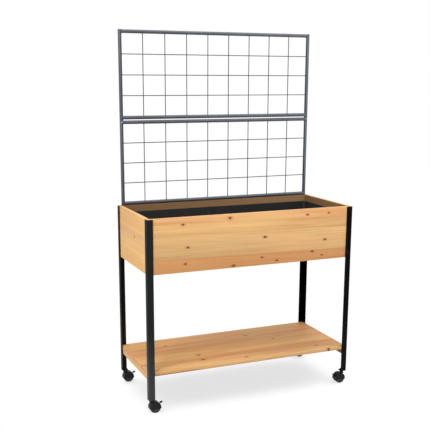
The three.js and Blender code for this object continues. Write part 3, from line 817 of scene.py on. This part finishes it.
SHELF_SEAMS = (-0.150, -0.085, 0.015, 0.105)
# (distance along X, distance along Y, radius in millimetres)
SHELF_KNOTS = (
    (-0.300, 0.111, 6.0), (-0.202, -0.063, 7.2), (-0.205, -0.126, 7.6), (0.113, 0.110, 6.0),
    (-0.013, -0.169, 6.0), (0.357, -0.151, 5.4), (0.389, -0.204, 5.4), (0.215, 0.020, 4.4),
)
SHELF_LINE_RISE = 2.5 * MM  # the brown line on its front edge, above its underside
SHELF_LINE_HALF = 4.0 * MM
SHELF_LINE_END = -0.22


def on_panel(knots):
    return [(place, panel_height(share), radius * KNOT_SPREAD * MM) for place, share, radius in knots]


def dress_panels():
    seams = [panel_height(share) for share in PANEL_SEAMS]
    left_seams = [panel_height(share) for share in LEFT_SEAMS]
    front_tones = (RUSSET, (SAND, STRAW), (HONEY, OAT), ROSY)
    boards = {
        "front": dict(
            seams=seams, tones=front_tones, knots=on_panel(FRONT_KNOTS), shade=0.97, tilt=FRONT_TILT,
            even_foot=True,
        ),
        "rear": dict(
            seams=seams, tones=(HONEY, AMBER, HONEY, SAND), knots=on_panel(REAR_KNOTS), offset=11.0
        ),
        "left": dict(
            seams=left_seams, tones=(HONEY, SAND, HONEY), knots=on_panel(LEFT_KNOTS), shade=1.03,
            offset=5.0, contrast=0.6,
        ),
        "right": dict(
            seams=seams, tones=(HONEY, HONEY, AMBER, HONEY), knots=on_panel(RIGHT_KNOTS), offset=7.0
        ),
    }
    for side, looks in boards.items():
        low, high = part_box(f"{side}_panel")
        along, thin = (Y, X) if side in SIDES else (X, Y)
        inner_face = min(abs(low[thin]), abs(high[thin]))
        material = wood(f"{side}_boards", along, Z, rim_shade_from=inner_face + RIM_SHADE_WIDTH, **looks)
        dress(f"{side}_panel", material, "panel")


def dress_shelf():
    knots = [(x, y, radius * MM) for x, y, radius in SHELF_KNOTS]
    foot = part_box("shelf_board")[0].z
    # painted shade on the shelf's faces that look to the front or back
    shelf = wood(
        "shelf_boards", X, Y, SHELF_SEAMS, (OAT, AMBER, HONEY, ROSY, HONEY), knots, shade=1.1,
        offset=19.0, contrast=1.9, painted_shade_faces=((Y, False, 0.80),),
        edge_line=(foot + SHELF_LINE_RISE, SHELF_LINE_HALF, SHELF_LINE_END),
    )
    dress("shelf_board", shelf, "shelf_board")
    # painted shade on the cleats' inner faces and, more faintly, on their ends
    cleat = wood("cleat_wood", Y, X, shade=0.95, offset=3.0, painted_shade_faces=((X, True, 0.32), (Y, False, 0.9)))
    for side in SIDES:
        dress(f"shelf_cleat_{side}", cleat, "shelf_cleat")


def dress_box_floor():
    cleat = wood("floor_cleat_wood", Y, Z, tones=(AMBER,), shade=0.85, offset=23.0)
    for name in ("left", "middle", "right"):
        dress(f"floor_cleat_{name}", cleat, "floor_cleat")
    for number in range(1, 5):
        offset = 29.0 + 5 * number
        board = wood(f"floor_board_wood_{number}", X, Y, tones=(AMBER,), shade=0.85, offset=offset)
        dress(f"floor_board_{number}", board, "floor_board")


# ---- trellis

WIRE_COLUMNS = 8
WIRE_ROWS = 3
ROW_PITCH = 88.7 * MM
WIRE_RADIUS = 2.0 * MM
WIRE_SIDES = 16
WIRE_OFFSET = 1.8 * MM  # columns in front of the tubes' plane and rows behind it
WIRE_SINK = 1.0 * MM  # how far a wire's end goes into the tube
TUBE_RADIUS = 8.0 * MM
# (radius, distance along the wire) of the weld round a wire's end, in millimetres
COLLAR_PROFILE = ((0, 0), (3.2, 0), (2.752, 0.49), (2.2, 1.4), (0, 1.4))
COLLAR_SIDES = 12
BEAD_RADIUS = 1.0 * MM
BEAD_STEPS = 40
WELD_SINK = 0.2 * MM  # how far a collar or bead goes into the tube

POST_X = middle("upper_trellis_post_right").x
TRELLIS_Y = middle("upper_trellis_post_right").y


def add_collar(bm, foot, direction):
    """The small cone of weld where a wire's end meets a tube."""
    add_lathe(bm, in_metres(COLLAR_PROFILE), foot, direction, COLLAR_SIDES)


def add_grid(panel, material):
    """A welded wire grid: columns in front, rows behind, each with a collar of weld at both ends."""
    node = f"{panel}_trellis_grid"
    reach = math.sqrt(TUBE_RADIUS ** 2 - WIRE_OFFSET ** 2)
    low = middle(f"{panel}_trellis_bottom_rail").z + reach
    high = middle(f"{panel}_trellis_top_rail").z - reach
    edge = POST_X - reach
    bm = bmesh.new()
    pitch = 2 * POST_X / (WIRE_COLUMNS + 1)
    y = TRELLIS_Y - WIRE_OFFSET
    for number in range(WIRE_COLUMNS):
        x = (number - (WIRE_COLUMNS - 1) / 2) * pitch
        add_tube(bm, (x, y, low - WIRE_SINK), (x, y, high + WIRE_SINK), WIRE_RADIUS, WIRE_SIDES)
        add_collar(bm, (x, y, low - WELD_SINK), (0, 0, 1))
        add_collar(bm, (x, y, high + WELD_SINK), (0, 0, -1))
    y = TRELLIS_Y + WIRE_OFFSET
    for number in range(WIRE_ROWS):
        z = (low + high) / 2 + (number - (WIRE_ROWS - 1) / 2) * ROW_PITCH
        add_tube(bm, (-edge - WIRE_SINK, y, z), (edge + WIRE_SINK, y, z), WIRE_RADIUS, WIRE_SIDES)
        add_collar(bm, (-edge - WELD_SINK, y, z), (1, 0, 0))
        add_collar(bm, (edge + WELD_SINK, y, z), (-1, 0, 0))
    piece = new_piece(f"{panel}_grid_wires", bm, material)
    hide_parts(node)


def add_weld_beads(material):
    """A bead of weld round each rail's end, where it meets the post."""
    bm = bmesh.new()
    ring = []
    for step in range(BEAD_STEPS):
        angle = 2 * math.pi * step / BEAD_STEPS
        y = TUBE_RADIUS * math.cos(angle)
        out = POST_X - math.sqrt(max(TUBE_RADIUS ** 2 - y ** 2, 0.0)) - WELD_SINK
        ring.append((out, y, min(TUBE_RADIUS * math.sin(angle), TUBE_RADIUS - BEAD_RADIUS)))
    for panel in ("lower", "upper"):
        for rail in ("top", "bottom"):
            height = middle(f"{panel}_trellis_{rail}_rail").z
            for side in (-1, 1):
                points = [(side * out, TRELLIS_Y + y, height + rise) for out, y, rise in ring]
                add_bead(bm, points, BEAD_RADIUS)
    new_piece("trellis_weld_beads", bm, material)


# ---- fasteners

SOCKET_RADIUS = 1.9 * MM
SOCKET_DEPTH = 1.3 * MM
HEAD_RIM = 0.22  # share of a head's height that is its upright rim
HEAD_FLAT = 0.42  # share of its radius that is flat on top
HEAD_STEPS = 6
HEAD_SIDES = 24
LEG_HEAD_RADIUS = 5.0 * MM
LEG_HEAD_HEIGHT = 2.4 * MM
LEG_SCREW_INSET = 1.5 * MM  # from the middle of the leg's front towards the planter's middle
LEG_SCREW_DROP = 12.5 * MM  # below the rim
LEG_SCREW_RISE = 22 * MM  # above the panel's lower edge
TRELLIS_HEAD_RADIUS = 3.6 * MM
TRELLIS_HEAD_HEIGHT = 2.2 * MM
TRELLIS_SHANK_RADIUS = 1.9 * MM
SHANK_SIDES = 16
SHANK_SINK = 0.2 * MM  # how far the shank goes into the head


def add_button_head(bm, place, direction, radius, height):
    """A button-head screw with a round socket, its underside at place."""
    dome = [(radius, 0), (radius, height * HEAD_RIM)]
    for step in range(1, HEAD_STEPS + 1):
        angle = math.pi / 2 * step / HEAD_STEPS
        across = radius * (HEAD_FLAT + (1 - HEAD_FLAT) * math.cos(angle))
        dome.append((across, height * (HEAD_RIM + (1 - HEAD_RIM) * math.sin(angle))))
    profile = [(0, 0), *dome, (SOCKET_RADIUS, height), (SOCKET_RADIUS, height - SOCKET_DEPTH)]
    profile.append((0, height - SOCKET_DEPTH))
    add_lathe(bm, profile, place, direction, HEAD_SIDES)


def add_leg_screws(material):
    """Two screws through each leg into the front or rear panel."""
    bm = bmesh.new()
    for corner in CORNERS:
        low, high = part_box(f"leg_{corner}")
        x = (low.x + high.x) / 2 - math.copysign(LEG_SCREW_INSET, low.x)
        front = low.y < 0
        face = low.y if front else high.y
        outward = (0, -1 if front else 1, 0)
        for z in (RIM - LEG_SCREW_DROP, PANEL_LOW + LEG_SCREW_RISE):
            add_button_head(bm, (x, face, z), outward, LEG_HEAD_RADIUS, LEG_HEAD_HEIGHT)
    new_piece("leg_screws", bm, material)


def add_trellis_screws(material):
    """A screw through each pair of posts, from the front."""
    for side in SIDES:
        node = f"trellis_screw_{side}"
        low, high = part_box(node)
        x, _, z = (low + high) / 2
        head_back = low.y + TRELLIS_HEAD_HEIGHT
        shank_start = (x, head_back - SHANK_SINK, z)
        bm = bmesh.new()
        add_button_head(bm, (x, head_back, z), (0, -1, 0), TRELLIS_HEAD_RADIUS, TRELLIS_HEAD_HEIGHT)
        add_tube(bm, shank_start, (x, high.y, z), TRELLIS_SHANK_RADIUS, SHANK_SIDES, dome=True)
        piece = new_piece(f"trellis_screw_{side}_dressed", bm, material)
        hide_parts(node)


# ---- casters

HOOD_INNER = 23.9 * MM
HOOD_OUTER = 25.5 * MM
HOOD_SHOULDER = 3.2 * MM
HOOD_STEPS = 56
SHOULDER_STEPS = 6
CHEEK_INNER = 15.5 * MM
CHEEK_OUTER = 17.2 * MM
HOOD_DROP = 5.0 * MM  # how far the hood comes down below the axle
WEB_HALF = 3.0 * MM
WEB_SINK = 0.4 * MM  # how far the web goes into the shell
WEB_HUB_RADIUS = 7.0 * MM
HUB_SIDES = 40  # of the web's hub and of the socket
STEM_BORE = 4.3 * MM
STEM_SOCKET_RADIUS = 8.5 * MM
# (distance past the socket's radius, height above the shell's foot) of its flare, in millimetres
SOCKET_FLARE = ((1.6, 2.0), (0.7, 3.6), (0.0, 5.2))
SOCKET_CHAMFER = 0.8 * MM
STUD_X = 7.0 * MM
STUD_Z = 14.0 * MM
STUD_SIDES = 20
# (radius, distance out from the cheek) of the studs on the cheeks, in millimetres
STUD_PROFILE = ((0, -0.4), (2.6, -0.4), (2.5, 0.3), (1.9, 0.7), (0, 0.8))
HOOD_SMOOTH_ANGLE = 28

# (radius, distance out from the wheel's inner face) round a wheel, in millimetres
WHEEL_PROFILE = (
    (3.3, 0.3), (19.5, 0.3), (20.3, 0.0), (21.4, 0.0), (22.4, 0.5), (22.9, 1.5), (23.0, 3.2),
    (23.0, 8.3), (22.85, 9.9), (22.4, 10.9), (21.5, 11.5), (19.4, 11.5), (18.6, 11.2), (18.2, 10.5),
    (17.9, 9.3), (13.9, 8.9), (13.4, 9.5), (12.6, 9.7), (11.8, 9.5), (11.3, 8.9), (9.0, 8.8),
    (8.1, 9.2), (7.6, 10.3), (6.9, 10.7), (4.2, 10.7), (3.3, 10.3),
)
WHEEL_SEGMENTS = 72
TYRE_INNER_RADIUS = 18.4 * MM  # the wheel's paler dish lies inside this


def add_wheels(corner, tyre, dish):
    """Both wheels of a caster, dished on the outside, with a paler face inside the tyre."""
    joint = JOINTS[f"swivel_{corner}"]
    for wheel in ("outer", "inner"):
        node = f"{wheel}_wheel_{corner}"
        low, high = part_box(node)
        centre = (low + high) / 2
        outward = math.copysign(1, centre.y - joint["pos_m"][1])
        inner_face = low.y if outward > 0 else high.y
        place = (centre.x, inner_face, centre.z)
        bm = bmesh.new()
        add_lathe(bm, in_metres(WHEEL_PROFILE), place, (0, outward, 0), WHEEL_SEGMENTS)
        piece = new_piece(f"{node}_moulded", bm, tyre, f"wheel_{wheel}_{corner}")
        piece.data.materials.append(dish)
        for polygon in piece.data.polygons:
            across = polygon.center - centre
            across.y = 0
            if across.length < TYRE_INNER_RADIUS:
                polygon.material_index = 1
        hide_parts(node)


def arch(radius, drop_angle):
    """Points over the axle from one side to the other, each end drop_angle below it, as (x, z)."""
    turn = math.pi + 2 * drop_angle
    angles = [turn * step / HOOD_STEPS - drop_angle for step in range(HOOD_STEPS + 1)]
    return [(radius * math.cos(angle), radius * math.sin(angle)) for angle in angles]


def hood_section():
    """(radius, distance across) round the shell: from one cheek to the other and back inside."""
    edge = HOOD_OUTER - HOOD_SHOULDER
    section = [(edge, -CHEEK_OUTER)]
    rising, falling = range(1, SHOULDER_STEPS + 1), range(SHOULDER_STEPS - 1, -1, -1)
    for side, order in ((-1, rising), (1, falling)):
        for step in order:
            angle = math.pi / 2 * step / SHOULDER_STEPS
            radius = HOOD_OUTER - HOOD_SHOULDER * (1 - math.sin(angle))
            section.append((radius, side * (CHEEK_OUTER - HOOD_SHOULDER * (1 - math.cos(angle)))))
    section += [(edge, CHEEK_INNER), (HOOD_INNER, CHEEK_INNER)]
    section += [(HOOD_INNER, -CHEEK_INNER), (edge, -CHEEK_INNER)]
    return section


def add_hood(corner, material):
    """The cover over both wheels: a rounded shell, cheeks, a web between the wheels and the socket."""
    node = f"caster_hood_{corner}"
    stem = Vector(JOINTS[f"swivel_{corner}"]["pos_m"])
    axle = Vector(JOINTS[f"roll_outer_{corner}"]["pos_m"])
    low_angle = math.asin(HOOD_DROP / HOOD_OUTER)
    bm = bmesh.new()

    section = hood_section()
    rings = []
    for x, z in arch(1.0, low_angle):
        rings.append([
            bm.verts.new(axle + Vector((radius * x, across, radius * z))) for radius, across in section
        ])
    join_rings(bm, rings)
    cap_ends(bm, rings)

    cheek = arch(HOOD_OUTER - HOOD_SHOULDER, low_angle)
    for inside in (-CHEEK_OUTER, CHEEK_INNER):
        base = axle + Vector((0, inside, 0))
        add_prism(bm, cheek, base, (0, CHEEK_OUTER - CHEEK_INNER, 0), (1, 0, 0), (0, 0, 1))
    base = axle + Vector((0, -WEB_HALF, 0))
    through = Vector((0, 2 * WEB_HALF, 0))
    add_prism(bm, arch(HOOD_INNER + WEB_SINK, 0.0), base, through, (1, 0, 0), (0, 0, 1))
    add_tube(bm, base, base + through, WEB_HUB_RADIUS, HUB_SIDES)

    foot = axle.z + math.sqrt(HOOD_INNER ** 2 - (axle.x - stem.x) ** 2)
    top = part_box(node)[1].z
    flare = [(STEM_SOCKET_RADIUS + wider, foot + rise) for wider, rise in in_metres(SOCKET_FLARE)]
    profile = [
        (STEM_BORE, flare[0][1]), *flare, (STEM_SOCKET_RADIUS, top - SOCKET_CHAMFER),
        (STEM_SOCKET_RADIUS - SOCKET_CHAMFER, top), (STEM_BORE, top),
    ]
    add_lathe(bm, profile, (stem.x, stem.y, 0), (0, 0, 1), HUB_SIDES)

    toward = math.copysign(1, axle.x - stem.x)
    for side in (-1, 1):
        place = axle + Vector((toward * STUD_X, side * CHEEK_OUTER, STUD_Z))
        add_lathe(bm, in_metres(STUD_PROFILE), place, (0, side, 0), STUD_SIDES)
    body = f"caster_{corner}"
    piece = new_piece(f"{node}_moulded", bm, material, body, HOOD_SMOOTH_ANGLE)
    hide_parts(node)


STEM_RADIUS = 4.0 * MM
STEM_COLLAR_RADIUS = 8.0 * MM
STEM_COLLAR_HEIGHT = 3.4 * MM
STEM_COLLAR_GAP = 0.3 * MM  # from the foot plate
STEM_CHAMFER = 0.5 * MM
STEM_TIP_CHAMFER = 0.3 * MM
STEM_SIDES = 32
STEM_SMOOTH_ANGLE = 25
THREAD_ROOT = 4.05 * MM
THREAD_CREST = 4.7 * MM
THREAD_PITCH = 1.25 * MM
THREAD_END = 1.0 * MM  # the plain length left above the last turn
NUT_RISE = 3.1 * MM  # above the foot plate's underside
NUT_HEIGHT = 5.5 * MM
NUT_RADIUS = 7.5 * MM  # to its corners


def add_stem(corner, material):
    """The stem with its collar, rolled thread and the nut that clamps the foot plate."""
    node = f"caster_stem_{corner}"
    low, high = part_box(node)
    stem = (low + high) / 2
    plate_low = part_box(f"leg_{corner}")[0].z
    top = plate_low - STEM_COLLAR_GAP
    foot = top - STEM_COLLAR_HEIGHT
    tip = STEM_RADIUS - STEM_TIP_CHAMFER
    rim = STEM_COLLAR_RADIUS - STEM_CHAMFER
    profile = [
        (0, low.z), (tip, low.z), (STEM_RADIUS, low.z + STEM_CHAMFER), (STEM_RADIUS, foot),
        (rim, foot), (STEM_COLLAR_RADIUS, foot + STEM_CHAMFER),
        (STEM_COLLAR_RADIUS, top - STEM_CHAMFER), (rim, top),
    ]
    z = top
    while z + THREAD_PITCH < high.z - THREAD_END:
        profile += [(THREAD_ROOT, z), (THREAD_CREST, z + THREAD_PITCH / 2)]
        z += THREAD_PITCH
    profile += [(THREAD_ROOT, z), (tip, high.z), (0, high.z)]
    bm = bmesh.new()
    add_lathe(bm, profile, (stem.x, stem.y, 0), (0, 0, 1), STEM_SIDES)

    angles = [math.pi / 3 * step for step in range(6)]
    hexagon = [(NUT_RADIUS * math.cos(angle), NUT_RADIUS * math.sin(angle)) for angle in angles]
    base = Vector((stem.x, stem.y, plate_low + NUT_RISE))
    add_prism(bm, hexagon, base, (0, 0, NUT_HEIGHT), (1, 0, 0), (0, 1, 0))
    piece = new_piece(f"{node}_threaded", bm, material, angle=STEM_SMOOTH_ANGLE)
    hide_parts(node)


# ---- assembly

# per leg: the coat, whose tone is painted light or shade for where the leg stands; the painted light
# of the pale floor near its foot; and how strongly it shines, less on a leg in shade
LEG_LOOKS = {
    "front_left": (rgb(31, 32, 32), rgb(78, 79, 82), 0.04),
    "front_right": (rgb(13, 13, 15), rgb(30, 30, 34), 0.02),
    "rear_left": (rgb(22, 23, 23), rgb(52, 50, 47), 0.03),
    "rear_right": (rgb(3, 3, 3), rgb(3, 3, 3), 0.0),
}
LEG_WEAR = 1.5  # how much paler the worn coat is

bpy.context.scene.view_settings.view_transform = "Standard"
add_camera()
add_world()
add_floor()
for lamp in LAMPS:
    add_lamp(*lamp)

# the left and right tones carry painted light, paler to the right; the third is painted shade, also
# taken by the clouds
slate = slate_coat("slate_powder_coat", rgb(84, 86, 93), rgb(105, 110, 120), rgb(38, 41, 46))
peg_black = powder_coat("black_pegs", rgb(20, 21, 22), rgb(34, 35, 36))
screw_black = powder_coat("black_screws", rgb(16, 16, 18), rgb(40, 40, 44), 0.4, 0.16)
zinc_plate = plating("zinc_plate", rgb(176, 178, 182), rgb(132, 134, 138))
black_plate = plating("black_zinc_plate", rgb(52, 53, 54), rgb(34, 34, 35))
hood_nylon = moulded_plastic("hood_nylon", rgb(14, 14, 16), rgb(32, 32, 36), 0.45, specular=0.2)
lever_nylon = moulded_plastic("lever_nylon", rgb(8, 8, 9), rgb(18, 18, 20), specular=0.1)
tyre_nylon = moulded_plastic("tyre_nylon", rgb(16, 16, 19), rgb(34, 34, 40), 0.45, specular=0.2)
dish_nylon = moulded_plastic("dish_nylon", rgb(54, 54, 63), rgb(80, 80, 92), 0.4)
liner_plastic = moulded_plastic("liner_plastic", rgb(24, 25, 24), rgb(44, 45, 43), 0.6, 700.0)

dress_panels()
dress_shelf()
dress_box_floor()
for corner in CORNERS:
    # the second tone is the painted light of the pale floor near the leg's foot
    black, dust, sheen = LEG_LOOKS[corner]
    worn = tuple(LEG_WEAR * value for value in black[:3]) + (1,)
    leg_coat = powder_coat(f"black_leg_{corner}", black, worn, specular=sheen, floor_glow=dust)
    dress(f"leg_{corner}", leg_coat, "leg")
    dress(f"caster_axle_{corner}", black_plate, "axle")
    dress(f"brake_lever_{corner}", lever_nylon, "lever")
    add_wheels(corner, tyre_nylon, dish_nylon)
    add_hood(corner, hood_nylon)
    add_stem(corner, black_plate)
for panel in ("lower", "upper"):
    for part in ("post_left", "post_right", "top_rail", "bottom_rail"):
        dress(f"{panel}_trellis_{part}", slate, "tube")
    add_grid(panel, slate)
add_weld_beads(slate)
add_leg_screws(screw_black)
add_trellis_screws(zinc_plate)
for side in SIDES:
    dress(f"trellis_spigot_{side}", slate, "spigot")
    dress(f"trellis_peg_{side}", peg_black, "peg")
dress("planter_liner", liner_plastic, "liner")
